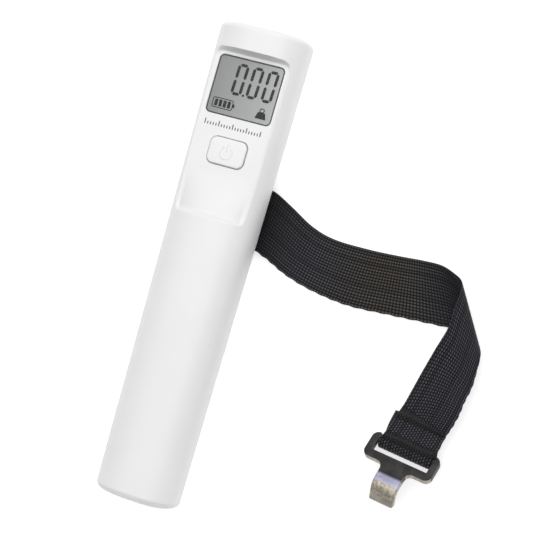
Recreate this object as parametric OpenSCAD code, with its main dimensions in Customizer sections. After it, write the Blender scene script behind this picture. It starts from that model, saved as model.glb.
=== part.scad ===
// Digital luggage scale: a tapered hand-held case with a display, a webbing strap and a T-hook.
// Millimetres. X to the right, Y towards the display end, Z out of the display.
// The case lies on its flat back: the back face is z = 0, with the origin at its centre.

/* [Case] */
// Length of the two shells, without the end cap's dome
shell_length = 167; // [166:1:172]
// Width at the display end
head_width = 33.4; // [33:0.1:35]
// Width at the battery end
tail_width = 29.9; // [29.7:0.1:31]
// Depth at the display end
head_depth = 25.2; // [25:0.1:26]
// Depth at the battery end
tail_depth = 22.6; // [22.4:0.1:24]
// How far the end cap's dome stands out of the shells
dome_height = 3; // [2:0.1:3.5]
// Wall thickness of both shells
wall = 1.8; // [1.6:0.1:2]
// Radius of the rim around the display end
end_radius = 3; // [2:0.5:4]
// Height of the parting line above the back
split_z = 8; // [7.5:0.1:8.2]

/* [Display] */
// Height of the sunk panel's floor above the back
panel_z = 20.4; // [20.2:0.1:20.6]
// Width of the display window
window_width = 24.4; // [23:0.1:24.8]
// Length of the display window along the case
window_length = 21; // [20:0.1:21.4]
// Centre of the window along the case
window_y = 61.5; // [61.2:0.1:61.6]

/* [Button] */
// Width of the mode button
button_width = 13.6; // [12:0.1:14]
// Length of the mode button along the case
button_length = 9.4; // [8:0.1:9.6]
// Centre of the button along the case
button_y = 38.9; // [38.6:0.1:39.2]

/* [Strap] */
// Width of the webbing
strap_width = 20; // [19:0.5:20.5]
// Thickness of the webbing
strap_thickness = 1.4; // [1.2:0.1:1.5]
// Radius of the strap pin and the catch pin
pin_radius = 1.5; // [1.4:0.05:1.6]

/* [Hidden] */
$fn = 48;
eps = 0.01;

head_y = shell_length / 2;
tail_y = -shell_length / 2;
back_flat = 0.8;                  // how far the rounded back is cut to make it flat
oval_power = 2.5;                 // exponent of the superellipse section
oval_sides = 64;

// sunk panel, its floor and its sloping ends
panel_half_width = 13.7;
panel_y = [18.4, 73.2];
panel_corner = 2.6;
panel_skin = 1.6;
panel_slope = [3.6, 1.2];         // run of the lower and the upper end wall over the panel's depth
panel_top_z = 24.4;
window_ledge = 1;
window_skin = 1;
window_corner = 1.8;

// circuit board
board_z = 13;
board_thickness = 1.4;
board_y = [24, 75.4];
board_half_width = 12.6;
board_post_x = 10.4;
board_post_y = [28.4, 46];

// batteries
battery_radius = 5.25;
battery_length = 44.5;
battery_x = 5.6;
battery_z = 10.8;
battery_y = -80.3;
tray_wall_y = -34.6;

// load path
beam_y = [-31, 7];
beam_z = 4.5;
beam_height = 6;
beam_width = 12;
beam_screw_y = [-28.4, -22.6];
yoke_screw_y = [-1.5, 4];
yoke_x = [-9.6, 6.4];
yoke_y = [8.6, 33.6];
yoke_thickness = 1.5;
strap_pin_x = 2.5;
catch_pin_x = -7;
pin_z = 6.2;
pin_y = [7.8, 34.4];
opening_x = [-11.6, 20];
opening_y = [6.6, 35.4];
opening_z = 6.3;

// case screws, from the back
case_screw_at = [[-8, 78.2], [8, 78.2], [-10.2, -26], [10.2, -26]];
screw_seat_z = 4.4;

// battery tray
tray_half = 11.4;                  // half its width
tray_foot_half = 7.5;              // half the width of its foot
tray_foot_z = 3;
tray_cut_z = 5.6;                  // where the cut lower corners end
tray_side_top = 9;
tray_wall_top = 17.8;              // top of the wall between the batteries and the load cell
tray_wall = 1.3;
tray_setback = 2.8;                // keeps the tray clear of the cap

// hook, held up at its tongue end by the stiff sewn strap
hook_at = [86, -41.4, 4.3];        // centre of the bar that the strap runs on
hook_heading = -96;                // direction of the tongue
hook_roll = 8;                     // raises its right side
hook_pitch = 30;                   // raises its tongue end
hook_thickness = 2.2;
hook_half_width = 12.9;
hook_slot_half = 10.4;
hook_bar = 1.1;
hook_far_bar = [5.8, 8.9];         // second bar, measured from the first one's centre
hook_corner = 2.4;
tongue_half = 4.7;
tongue_bend_start = 14;
tongue_bend_radius = 4;
tongue_bend = 62;
tongue_tip = 4.3;                  // straight run after the bend

// Half width, half depth and section of the case at a place along it
function along(y) = (y - tail_y) / shell_length;
function half_width(y) = (tail_width + (head_width - tail_width) * along(y)) / 2;
function half_depth(y) = (tail_depth + (head_depth - tail_depth) * along(y)) / 2;
function signed_power(v) = sign(v) * pow(abs(v), 2 / oval_power);
function oval(y, inset) = [
    for (i = [0 : oval_sides - 1])
        let (angle = 360 * (i + 0.5) / oval_sides,
             rise = half_depth(y) + (sin(angle) < 0 ? back_flat : 0) - inset)
        [(half_width(y) - inset) * signed_power(cos(angle)),
         max(inset, half_depth(y) + rise * signed_power(sin(angle)))]];

module oval_slice(y, inset) {
    translate([0, y, 0]) rotate([90, 0, 0])
        linear_extrude(height = eps, center = true) polygon(oval(y, inset));
}

// The case as one solid, shrunk by inset, from one end to where the head's rim begins and over it
module case_solid(inset, from_y) {
    radius = max(end_radius - inset, 0.6);
    hull() {
        oval_slice(from_y, inset);
        for (angle = [0 : 22.5 : 90])
            oval_slice(head_y - inset - radius * (1 - sin(angle)), inset + radius * (1 - cos(angle)));
    }
}

module rounded_rectangle(width, length, radius) {
    square([width - 2 * radius, length], center = true);
    square([width, length - 2 * radius], center = true);
    for (x = [-1, 1], y = [-1, 1])
        translate([x * (width / 2 - radius), y * (length / 2 - radius)]) circle(radius);
}

module rounded_plate(width, length, radius, z, height) {
    translate([0, 0, z]) linear_extrude(height = height) rounded_rectangle(width, length, radius);
}

module half_space_above(z) {
    translate([-50, -150, z]) cube([100, 300, 60]);
}

module half_space_below(z) {
    translate([-50, -150, z - 60]) cube([100, 300, 60]);
}

// Sunk panel: a flat floor with sloping ends, growing upwards
module panel_cut() {
    rise = panel_top_z - panel_z;
    centre = (panel_y[0] + panel_y[1]) / 2;
    length = panel_y[1] - panel_y[0];
    hull() {
        translate([0, centre, panel_z]) linear_extrude(height = eps)
            rounded_rectangle(2 * panel_half_width, length, panel_corner);
        translate([0, centre + (panel_slope[1] - panel_slope[0]) / 2, panel_z + rise])
            linear_extrude(height = 2)
                rounded_rectangle(2 * panel_half_width + 1.6, length + panel_slope[0] + panel_slope[1],
                                  panel_corner + 1);
    }
}

module case_cavity() {
    difference() {
        case_solid(wall, tail_y - 5);
        translate([-20, panel_y[0] - panel_slope[0] - 1.6, panel_z - panel_skin])
            cube([40, panel_y[1] - panel_y[0] + panel_slope[0] + panel_slope[1] + 3.2, 10]);
    }
}

module front_shell() {
    color("white") difference() {
        union() {
            difference() {
                intersection() {
                    case_solid(0, tail_y);
                    half_space_above(split_z);
                }
                case_cavity();
            }
            // bosses for the case screws
            for (p = case_screw_at)
                translate([p[0], p[1], split_z]) cylinder(r = 2.4, h = p[1] > 0 ? 14.6 : 12.4);
            // posts for the board
            for (x = [-board_post_x, board_post_x], y = board_post_y)
                translate([x, y, board_z + board_thickness])
                    cylinder(r = 1.8, h = panel_z - panel_skin / 2 - board_z - board_thickness);
        }
        panel_cut();
        translate([0, window_y, 0]) {
            rounded_plate(window_width, window_length, window_corner, panel_z - window_skin, 5);
            rounded_plate(window_width - 2 * window_ledge, window_length - 2 * window_ledge, 1,
                          panel_z - 3, 5);
        }
        translate([0, button_y, 0])
            rounded_plate(button_width + 0.5, button_length + 0.5, 2.6, panel_z - 3, 5);
        for (p = case_screw_at)
            translate([p[0], p[1], split_z - 1]) cylinder(r = 0.9, h = 8);
        for (x = [-board_post_x, board_post_x], y = board_post_y)
            translate([x, y, board_z]) cylinder(r = 0.8, h = 4.6);
    }
}

module back_shell() {
    color("whitesmoke") difference() {
        union() {
            difference() {
                intersection() {
                    case_solid(0, tail_y);
                    half_space_below(split_z);
                }
                case_solid(wall, tail_y - 5);
            }
            // eight-sided posts around the case screws
            intersection() {
                case_solid(wall / 2, tail_y);
                for (p = case_screw_at)
                    translate([p[0], p[1], 0]) rotate([0, 0, 22.5]) cylinder(r = 3.2, h = split_z, $fn = 8);
            }
        }
        for (p = case_screw_at) {
            translate([p[0], p[1], -1]) cylinder(r = 2.2, h = screw_seat_z + 1);
            translate([p[0], p[1], 0]) cylinder(r = 1.2, h = split_z + 1);
        }
        for (y = beam_screw_y) {
            translate([0, y, -1]) cylinder(r = 1.6, h = 5);
            translate([0, y, -1]) cylinder(r = 2.8, h = 2);
        }
        // mouth for the strap and the hook's tongue, open at the back and at the right side
        translate([(opening_x[0] + opening_x[1]) / 2, (opening_y[0] + opening_y[1]) / 2, 0])
            rounded_plate(opening_x[1] - opening_x[0], opening_y[1] - opening_y[0], 2, -1,
                          opening_z + 1);
    }
}

// Crowned cap that closes the battery end, with a skirt inside the shells
module end_cap() {
    rim = 0.3;
    color("gainsboro") {
        difference() {
            hull() {
                oval_slice(tail_y, rim);
                for (angle = [0 : 15 : 75])
                    oval_slice(tail_y - 0.2 - (dome_height - 0.2) * sin(angle),
                               rim + 9.5 * (1 - cos(angle)));
                oval_slice(tail_y - dome_height, rim + 9.5);
            }
            translate([-30, tail_y - eps, -5]) cube([60, 10, 50]);
        }
        difference() {
            hull() {
                oval_slice(tail_y - 0.4, wall + 0.3);
                oval_slice(tail_y + 6, wall + 0.35);
            }
            hull() {
                oval_slice(tail_y + 0.2, wall + 1.5);
                oval_slice(tail_y + 7, wall + 1.5);
            }
        }
        // pad that backs the bridge contact
        translate([-10, tail_y - 0.3, battery_z - 3.5]) cube([20, 3, 7]);
    }
}

module bridge_contact() {
    color("silver") translate([-10, tail_y + 2.7, battery_z - 4]) cube([20, 0.4, 8]);
}

module display_window() {
    color([0.8, 0.82, 0.82]) translate([0, window_y, 0])
        rounded_plate(window_width - 0.2, window_length - 0.2, window_corner - 0.1,
                      panel_z - window_skin + 0.15, window_skin - 0.2);
}

module window_tape() {
    color("black") translate([0, window_y, 0]) difference() {
        rounded_plate(window_width - 0.4, window_length - 0.4, window_corner - 0.2,
                      panel_z - window_skin, 0.15);
        rounded_plate(window_width - 2 * window_ledge, window_length - 2 * window_ledge, 1,
                      panel_z - window_skin - 1, 3);
    }
}

lcd_z = 16.9;
lcd_y = [49.3, 73.4];

module lcd_glass() {
    color([0.6, 0.62, 0.6]) {
        translate([-12.5, lcd_y[0], lcd_z]) cube([25, lcd_y[1] - lcd_y[0], 0.9]);
        translate([-12.5, lcd_y[0] + 2, lcd_z + 0.9]) cube([25, lcd_y[1] - lcd_y[0] - 4, 0.8]);
    }
}

module lcd_reflector() {
    color("lightgrey") translate([-11.5, lcd_y[0] + 3, lcd_z - 0.3])
        cube([23, lcd_y[1] - lcd_y[0] - 6, 0.3]);
}

module lcd_frame() {
    color("ivory") difference() {
        translate([-13.1, lcd_y[0] - 1, board_z + board_thickness])
            cube([26.2, lcd_y[1] - lcd_y[0] + 2, 3.6]);
        translate([-12.55, lcd_y[0] - 0.05, lcd_z])
            cube([25.1, lcd_y[1] - lcd_y[0] + 0.1, 5]);
        translate([-11.6, lcd_y[0] - 0.05, board_z])
            cube([23.2, lcd_y[1] - lcd_y[0] + 0.1, 10]);
    }
}

module elastomer_strips() {
    color("pink") for (y = [lcd_y[0] + 0.1, lcd_y[1] - 1.9])
        translate([-11.2, y, board_z + board_thickness])
            cube([22.4, 1.8, lcd_z - board_z - board_thickness]);
}

module main_board() {
    color("darkgreen") difference() {
        translate([-board_half_width, board_y[0], board_z])
            cube([2 * board_half_width, board_y[1] - board_y[0], board_thickness]);
        for (x = [-board_post_x, board_post_x], y = board_post_y)
            translate([x, y, board_z - 1]) cylinder(r = 1.05, h = 4);
    }
}

module controller_blob() {
    color("black") intersection() {
        translate([0, 58, board_z + board_thickness - 0.02]) rotate_extrude()
            polygon([[0, 0.02], [5.2, 0.02], [5, 0.4], [4.2, 0.9], [2.6, 1.3], [0, 1.45]]);
        half_space_above(board_z + board_thickness);
    }
}

// chips, resistors and capacitors on the underside of the board
module board_components() {
    color("dimgrey") {
        for (i = [0 : 4])
            translate([-8 + 4 * i, 50, board_z - 0.55]) cube([1.6, 0.8, 0.55]);
        for (i = [0 : 2])
            translate([-6 + 6 * i, 54, board_z - 0.7]) cube([2, 1.25, 0.7]);
        translate([-4, 62, board_z - 1.1]) cube([5, 4.4, 1.1]);
        translate([5, 61, board_z - 0.95]) cube([2.9, 1.6, 0.95]);
    }
}

switch_z = 1.8;

module switch_body() {
    color("silver") difference() {
        translate([-2.6, button_y - 2.6, board_z + board_thickness]) cube([5.2, 5.2, switch_z]);
        translate([0, button_y, board_z + board_thickness + 0.6]) cylinder(r = 1.55, h = 5);
    }
}

module switch_plunger() {
    color("black") translate([0, button_y, board_z + board_thickness + 1.1]) cylinder(r = 1.5, h = 1.3);
}

module mode_button() {
    stem_z = board_z + board_thickness + 2.45;
    color("white") translate([0, button_y, 0]) {
        rounded_plate(button_width + 2.6, button_length + 2, 2.6, panel_z - panel_skin - 0.9, 0.85);
        rounded_plate(button_width, button_length, 2.4, panel_z - panel_skin - 0.1, panel_skin + 0.7);
        rounded_plate(button_width - 0.8, button_length - 0.8, 2, panel_z + 0.5, 0.35);
        translate([0, 0, stem_z]) cylinder(r = 1.6, h = panel_z - panel_skin - stem_z);
    }
}

// Bending beam: fixed at its battery end, free at the strap end, thinned by two joined holes
module load_cell() {
    centre = (beam_screw_y[1] + yoke_screw_y[0]) / 2;
    color("lightsteelblue") difference() {
        translate([-beam_width / 2, beam_y[0], beam_z])
            cube([beam_width, beam_y[1] - beam_y[0], beam_height]);
        for (side = [-3.4, 3.4])
            translate([-10, centre + side, beam_z + beam_height / 2]) rotate([0, 90, 0])
                cylinder(r = 2.3, h = 20);
        translate([-10, centre - 3.4, beam_z + beam_height / 2 - 0.9]) cube([20, 6.8, 1.8]);
        for (y = beam_screw_y) translate([0, y, beam_z - 1]) cylinder(r = 1.3, h = 6);
        for (y = yoke_screw_y) translate([0, y, beam_z + 1]) cylinder(r = 1.3, h = 8);
    }
}

module strain_gauges() {
    centre = (beam_screw_y[1] + yoke_screw_y[0]) / 2;
    color("ivory") {
        translate([-4.5, centre - 7, beam_z + beam_height]) cube([9, 14, 0.7]);
        translate([-4.5, centre - 7, beam_z - 0.7]) cube([9, 14, 0.7]);
    }
}

module load_cell_base() {
    color("slategrey") difference() {
        translate([-7, beam_y[0] - 0.5, wall]) cube([14, 11.5, beam_z - wall]);
        for (y = beam_screw_y) translate([0, y, 0]) cylinder(r = 1.4, h = 8);
    }
}

module pan_screw(length, radius, head_radius, head_height) {
    translate([0, 0, -head_height]) difference() {
        cylinder(r = head_radius, h = head_height);
        for (turn = [0, 90]) rotate([0, 0, turn])
            translate([-head_radius * 0.6, -0.25, -0.1]) cube([head_radius * 1.2, 0.5, 0.6]);
    }
    cylinder(r = radius, h = length);
}

module load_cell_screws() {
    color("grey") for (y = beam_screw_y)
        translate([0, y, wall - 0.8]) pan_screw(length = 7.2, radius = 1.25, head_radius = 2.5, head_height = 1);
}

module yoke() {
    plate_z = beam_z + beam_height;
    color("silver") difference() {
        union() {
            translate([-6, yoke_screw_y[0] - 3, plate_z])
                cube([12, yoke_y[1] - yoke_screw_y[0] + 3, yoke_thickness]);
            translate([yoke_x[0], yoke_y[0], plate_z])
                cube([yoke_x[1] - yoke_x[0], yoke_y[1] - yoke_y[0], yoke_thickness]);
            for (y = [yoke_y[0], yoke_y[1] - yoke_thickness])
                translate([yoke_x[0], y, pin_z - 2.7])
                    cube([yoke_x[1] - yoke_x[0], yoke_thickness, plate_z - pin_z + 2.8]);
        }
        for (y = yoke_screw_y) translate([0, y, plate_z - 1]) cylinder(r = 1.4, h = 4);
        for (x = [strap_pin_x, catch_pin_x]) translate([x, 0, pin_z]) rotate([-90, 0, 0])
            cylinder(r = pin_radius, h = 50);
    }
}

module yoke_screws() {
    color("grey") for (y = yoke_screw_y)
        translate([0, y, beam_z + beam_height + yoke_thickness]) mirror([0, 0, 1])
            pan_screw(length = 6, radius = 1.25, head_radius = 2.2, head_height = 1);
}

module cross_pin(x) {
    color("lightgrey") {
        translate([x, pin_y[0], pin_z]) rotate([-90, 0, 0]) cylinder(r = pin_radius, h = pin_y[1] - pin_y[0]);
        translate([x, pin_y[0] - 0.6, pin_z]) rotate([-90, 0, 0]) cylinder(r = pin_radius + 0.5, h = 0.6);
    }
}

module strap_pin() {
    cross_pin(strap_pin_x);
}

module catch_pin() {
    cross_pin(catch_pin_x);
}

// AAA cell; end = 1 puts the positive nub at the contact end, -1 at the cap end
module battery(x, end, shade) {
    nub = 0.9;
    color(shade) translate([x, battery_y + battery_length / 2, battery_z]) rotate([end > 0 ? -90 : 90, 0, 0])
        translate([0, 0, -battery_length / 2]) {
            cylinder(r = battery_radius, h = battery_length - nub);
            cylinder(r = 1.9, h = battery_length);
        }
}

module battery_left() {
    battery(-battery_x, 1, "royalblue");
}

module battery_right() {
    battery(battery_x, -1, "navy");
}

// Cross-section of the tray, its lower corners cut to clear the rounded back
module tray_section(top) {
    polygon([[-tray_foot_half, tray_foot_z], [tray_foot_half, tray_foot_z], [tray_half, tray_cut_z],
             [tray_half, top], [-tray_half, top], [-tray_half, tray_cut_z]]);
}

module battery_tray() {
    color("darkslategrey") difference() {
        union() {
            translate([0, tray_wall_y + 0.5, 0]) rotate([90, 0, 0])
                linear_extrude(height = tray_wall_y - battery_y - tray_setback)
                    tray_section(tray_side_top);
            translate([0, tray_wall_y + tray_wall, 0]) rotate([90, 0, 0])
                linear_extrude(height = tray_wall) tray_section(tray_wall_top);
        }
        for (x = [-battery_x, battery_x])
            translate([x, battery_y - 5, battery_z]) rotate([-90, 0, 0])
                cylinder(r = battery_radius + 0.2, h = tray_wall_y - battery_y + 5);
        for (x = [-battery_x, battery_x])
            translate([x, tray_wall_y - 1, battery_z]) rotate([-90, 0, 0]) cylinder(r = 0.7, h = 5);
    }
}

// Round tube along a list of points, closed at both ends
function unit(v) = v / norm(v);
function flow(points, i) =
    unit(points[min(i + 1, len(points) - 1)] - points[max(i - 1, 0)]);
function side_of(t) = unit(cross(t, abs(t[2]) < 0.9 ? [0, 0, 1] : [1, 0, 0]));
module tube_along(points, radius, sides = 8) {
    rings = len(points);
    vertices = [
        for (i = [0 : rings - 1])
            let (t = flow(points, i), a = side_of(t), b = cross(t, a))
            for (k = [0 : sides - 1])
                points[i] + radius * (cos(360 * k / sides) * a + sin(360 * k / sides) * b)];
    walls = [
        for (i = [0 : rings - 2], k = [0 : sides - 1])
            let (n = (k + 1) % sides)
            [i * sides + k, i * sides + n, (i + 1) * sides + n, (i + 1) * sides + k]];
    polyhedron(vertices, concat(walls, [[for (k = [sides - 1 : -1 : 0]) k]],
                                [[for (k = [0 : sides - 1]) (rings - 1) * sides + k]]));
}

// Smooth curve through hand-placed points
function between(a, b, c, d, t) =
    0.5 * (2 * b + (c - a) * t + (2 * a - 5 * b + 4 * c - d) * t * t
           + (3 * b - a - 3 * c + d) * t * t * t);
function smooth(points, steps) = concat(
    [for (i = [0 : len(points) - 2], k = [0 : steps - 1])
        between(points[max(i - 1, 0)], points[i], points[i + 1],
                points[min(i + 2, len(points) - 1)], k / steps)],
    [points[len(points) - 1]]);

module contact_spring() {
    turns = 3;
    reach = 1.0;
    spring = [for (i = [0 : turns * 16])
        let (share = i / (turns * 16), r = 3.6 - 2 * share)
        [battery_x + r * cos(360 * turns * share), tray_wall_y - 0.3 - reach * 0.55 * share,
         battery_z + r * sin(360 * turns * share)]];
    color("silver") tube_along(spring, 0.25);
}

module contact_plate() {
    color("silver") translate([-battery_x - 3.5, tray_wall_y - 0.5, battery_z - 3.5]) cube([7, 0.4, 7]);
}

module case_screws() {
    color("grey") for (p = case_screw_at)
        translate([p[0], p[1], screw_seat_z])
            pan_screw(length = 10, radius = 0.85, head_radius = 2, head_height = 1.4);
}

module board_screws() {
    color("grey") for (x = [-board_post_x, board_post_x], y = board_post_y)
        translate([x, y, board_z]) pan_screw(length = 4, radius = 0.75, head_radius = 1.6, head_height = 0.8);
}

// Leads held inside the case: four from the gauges, two from the battery contacts
gauge_lead_route = [[0, -19, 11.6], [1, -10, 12.6], [3, -2, 13.6], [6, 8, 13.9], [8, 16, 14],
                    [9, 20, 15.2], [9, 24.5, 15.2], [8.4, 26.5, 14.75]];
battery_lead_route = [[-6.6, -32.9, 14], [-6.4, -30.5, 15.3], [-6, -22, 16.3], [-6.6, -8, 16.4],
                      [-8, 6, 16.2], [-8.4, 18, 16.2], [-8.6, 24, 15.8], [-8, 26.5, 14.7]];

module load_cell_leads() {
    for (i = [0 : 3])
        color(["red", "white", "green", "black"][i]) translate([-0.75 * i, 0, 0])
            tube_along(smooth(gauge_lead_route, 3), 0.34);
}

module battery_leads() {
    for (i = [0 : 1])
        color(["red", "black"][i]) translate([0.9 * i, 0, 0])
            tube_along(smooth(battery_lead_route, 3), 0.4);
}

// Webbing: straight rulings from its far edge to its near edge, placed by hand from the sewn tail on
// the strap pin, out of the case, over the loose fold and round the hook's bar to the other sewn tail
function on_pin(angle) = [
    for (side = [1, -1])
        [strap_pin_x + 2.4 * cos(angle), 21 + side * strap_width / 2, pin_z + 2.4 * sin(angle)]];
// A place on the hook's bar frame: across it, out along the strap's end and up from the bar
hook_turn = hook_heading - 90;
hook_left = [cos(hook_turn) * cos(hook_roll), sin(hook_turn) * cos(hook_roll), -sin(hook_roll)];
hook_out = [-sin(hook_turn), cos(hook_turn), 0];
hook_up = cross(hook_left, hook_out);
function hook_point(across, out, up) = hook_at + across * hook_left + out * hook_out + up * hook_up;
function on_hook(out, up, shift = 0) = [
    hook_point(strap_width / 2 + shift, out, up), hook_point(-strap_width / 2 + shift, out, up)];
lying = [
    [[9.5, 31.4, 3.7], [7.8, 10.9, 3.7]],
    [[15, 31.2, 2.8], [12.4, 9.8, 2.9]],
    [[22.5, 27.6, 1.6], [19, 7.4, 1.8]],
    [[31.5, 22.9, 1.1], [27, 3.9, 1.1]],
    [[40.5, 20.6, 1], [37.5, 1.2, 1]],
    [[53, 20.4, 1], [51, -0.3, 1]],
    [[64, 21, 1], [66, 0.5, 1]],
    [[72.5, 21.7, 1.1], [79, 1.4, 1]],
    [[79.5, 21.8, 1.9], [90, 1.9, 1.2]],
    [[84.5, 20.2, 3.3], [96.6, 0.6, 2.5]],
    [[87.6, 18.2, 5.4], [100.2, -2.8, 4.8]],
    [[88.7, 14.8, 7.5], [101.6, -6.2, 7.2]],
    [[88.9, 9.5, 8.4], [102, -10.6, 8.5]],
    [[88.6, 2.1, 7.8], [101.8, -15.6, 8.3]],
    [[86.8, -6, 6.4], [100.8, -20.6, 8.4]],
    [[84.9, -13.8, 5], [100.3, -25, 8.6]],
    [[82.8, -21.6, 4], [99.2, -29.6, 8.2]],
    [[80.2, -27.4, 3.5], [98.1, -32.6, 7.4]]];
bend = 1.95;                      // radius of the strap's middle round the bar
rulings = concat(
    [[[14, 31.3, 4.9], [12, 10, 4.9]], [[9.6, 31.1, 5.5], [8.4, 10.9, 5.5]],
     [[6.2, 31, 6.8], [5.6, 11, 6.8]]],
    [for (angle = [75 : 30 : 255]) on_pin(angle)],
    lying,
    [on_hook(-8.4, 0.9, -1.3), on_hook(-6, 0.95, -0.9), on_hook(-3.6, 1.3, -0.5),
     on_hook(-1.4, 1.82, -0.2)],
    [for (angle = [90 : -30 : -90]) on_hook(bend * cos(angle), bend * sin(angle))],
    [on_hook(-1.6, -1.8), on_hook(-4.2, -1.1), on_hook(-6.2, -0.8), on_hook(-7.6, -0.74)]);

module strap() {
    far_edge = smooth([for (r = rulings) r[0]], 3);
    near_edge = smooth([for (r = rulings) r[1]], 3);
    rings = len(far_edge);
    up = [for (i = [0 : rings - 1])
        strap_thickness / 2 * unit(cross(near_edge[i] - far_edge[i], flow(far_edge, i) + flow(near_edge, i)))];
    vertices = [for (i = [0 : rings - 1])
        each [far_edge[i] + up[i], near_edge[i] + up[i], near_edge[i] - up[i], far_edge[i] - up[i]]];
    walls = [for (i = [0 : rings - 2], k = [0 : 3])
        let (n = (k + 1) % 4) each [
            [4 * i + k, 4 * (i + 1) + n, 4 * i + n],
            [4 * i + k, 4 * (i + 1) + k, 4 * (i + 1) + n]]];
    color([0.13, 0.13, 0.14])
        polyhedron(vertices, concat(walls, [[0, 1, 2, 3]], [[for (k = [3 : -1 : 0]) 4 * (rings - 1) + k]]));
}

// T-hook: a plate with a slot for the strap and a tongue that bends down to its tip
module hook_blank() {
    far_side = hook_far_bar[1];
    difference() {
        union() {
            translate([0, (far_side - hook_bar) / 2])
                rounded_rectangle(2 * hook_half_width, far_side + hook_bar, hook_corner);
            // the neck runs into the plate with a fillet on each side
            difference() {
                translate([-tongue_half - 2, far_side - 1]) square([2 * tongue_half + 4, 3]);
                for (x = [-1, 1]) translate([x * (tongue_half + 2), far_side + 2]) circle(2);
            }
        }
        translate([-hook_slot_half, -hook_bar - 1])
            square([2 * hook_slot_half, hook_far_bar[0] + hook_bar + 1]);
    }
}

// Side view of the tongue: out along the plate, then down round the bend to the tip
module tongue_profile() {
    inner = tongue_bend_radius - hook_thickness / 2;
    outer = tongue_bend_radius + hook_thickness / 2;
    centre = [tongue_bend_start, -tongue_bend_radius];
    end = [sin(tongue_bend), cos(tongue_bend)];
    along_tip = [cos(tongue_bend), -sin(tongue_bend)];
    steps = [0 : 5 : tongue_bend];
    polygon(concat(
        [[hook_far_bar[1] - 1, hook_thickness / 2]],
        [for (angle = steps) centre + outer * [sin(angle), cos(angle)]],
        [centre + outer * end + tongue_tip * along_tip,
         centre + inner * end + tongue_tip * along_tip],
        [for (angle = [tongue_bend : -5 : 0]) centre + inner * [sin(angle), cos(angle)]],
        [[hook_far_bar[1] - 1, -hook_thickness / 2]]));
}

module hook() {
    color([0.25, 0.24, 0.24]) translate(hook_at) rotate([hook_pitch, hook_roll, hook_turn]) {
        linear_extrude(height = hook_thickness, center = true) hook_blank();
        translate([-hook_slot_half - 0.6, 0, 0]) rotate([0, 90, 0])
            cylinder(r = hook_bar, h = 2 * hook_slot_half + 1.2);
        rotate([90, 0, 90]) linear_extrude(height = 2 * tongue_half, center = true) tongue_profile();
    }
}

front_shell();
back_shell();
end_cap();
bridge_contact();
display_window();
window_tape();
lcd_glass();
lcd_reflector();
lcd_frame();
elastomer_strips();
main_board();
controller_blob();
board_components();
switch_body();
switch_plunger();
mode_button();
load_cell();
strain_gauges();
load_cell_base();
load_cell_screws();
yoke();
yoke_screws();
strap_pin();
catch_pin();
battery_left();
battery_right();
battery_tray();
contact_spring();
contact_plate();
case_screws();
board_screws();
load_cell_leads();
battery_leads();
strap();
hook();
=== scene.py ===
"""Looks of the digital luggage scale: moulded shells, display, webbing strap and steel hook.

Lengths are in millimetres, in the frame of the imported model, and turn to metres where a mesh is made.
"""

from math import cos, hypot, pi, radians, sin, tan

import bmesh
import bpy
import numpy as np
from mathutils import Matrix, Vector


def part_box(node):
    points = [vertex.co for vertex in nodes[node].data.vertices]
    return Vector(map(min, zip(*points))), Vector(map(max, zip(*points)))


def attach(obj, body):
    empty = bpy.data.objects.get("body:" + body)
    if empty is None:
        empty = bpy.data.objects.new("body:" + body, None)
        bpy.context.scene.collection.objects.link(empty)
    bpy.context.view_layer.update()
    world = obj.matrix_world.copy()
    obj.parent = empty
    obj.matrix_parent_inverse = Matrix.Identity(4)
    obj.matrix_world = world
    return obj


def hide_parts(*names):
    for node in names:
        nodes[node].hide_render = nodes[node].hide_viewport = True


MM = 0.001

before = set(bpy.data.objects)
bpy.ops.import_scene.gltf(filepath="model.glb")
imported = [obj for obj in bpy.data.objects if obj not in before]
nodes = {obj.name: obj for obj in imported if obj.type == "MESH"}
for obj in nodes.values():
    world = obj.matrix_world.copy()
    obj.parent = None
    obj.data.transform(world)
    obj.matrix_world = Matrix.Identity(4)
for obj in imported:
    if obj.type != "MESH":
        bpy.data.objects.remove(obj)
scene = bpy.context.scene
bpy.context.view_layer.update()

# ---------------------------------------------------------------- camera

CAMERA_AT = Vector((177.5, 0.8, 538.8))
CAMERA_RIGHT = Vector((0.9226, 0.2764, -0.2692))
CAMERA_BACK = Vector((0.2822, -0.0074, 0.9593))
CAMERA_LENS = 107.12


def in_scene(name, data):
    """A new object of the scene that holds a mesh, a light or the camera."""
    holder = bpy.data.objects.new(name, data)
    scene.collection.objects.link(holder)
    return holder


def make_camera():
    camera = bpy.data.cameras.new("camera")
    camera.lens = CAMERA_LENS
    camera.sensor_width = 36.0
    camera.clip_start = 0.01
    camera.clip_end = 20.0
    holder = in_scene("camera", camera)
    back = CAMERA_BACK.normalized()
    right = (CAMERA_RIGHT - CAMERA_RIGHT.dot(back) * back).normalized()
    up = back.cross(right)
    turn = Matrix((right, up, back)).transposed().to_4x4()
    holder.matrix_world = Matrix.Translation(CAMERA_AT * MM) @ turn
    scene.camera = holder


make_camera()

# ---------------------------------------------------------------- mesh helpers


def finish_mesh(piece, sharp_degrees):
    """Clears away empty faces and loose edges, points the faces outwards and marks the sharp edges."""
    shape = bmesh.new()
    shape.from_mesh(piece.data)
    bmesh.ops.dissolve_degenerate(shape, edges=shape.edges, dist=1e-7)
    loose = [edge for edge in shape.edges if not edge.link_faces]
    bmesh.ops.delete(shape, geom=loose, context="EDGES")
    bmesh.ops.recalc_face_normals(shape, faces=shape.faces)
    limit = radians(sharp_degrees)
    for face in shape.faces:
        face.smooth = True
    for edge in shape.edges:
        edge.smooth = edge.calc_face_angle(0.0) < limit
    shape.to_mesh(piece.data)
    shape.free()
    piece.data.update()


def make_object(name, points, faces):
    """A mesh object from points in millimetres."""
    data = bpy.data.meshes.new(name)
    data.from_pydata([tuple(MM * float(x) for x in p) for p in points], [], faces)
    return in_scene(name, data)


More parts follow.
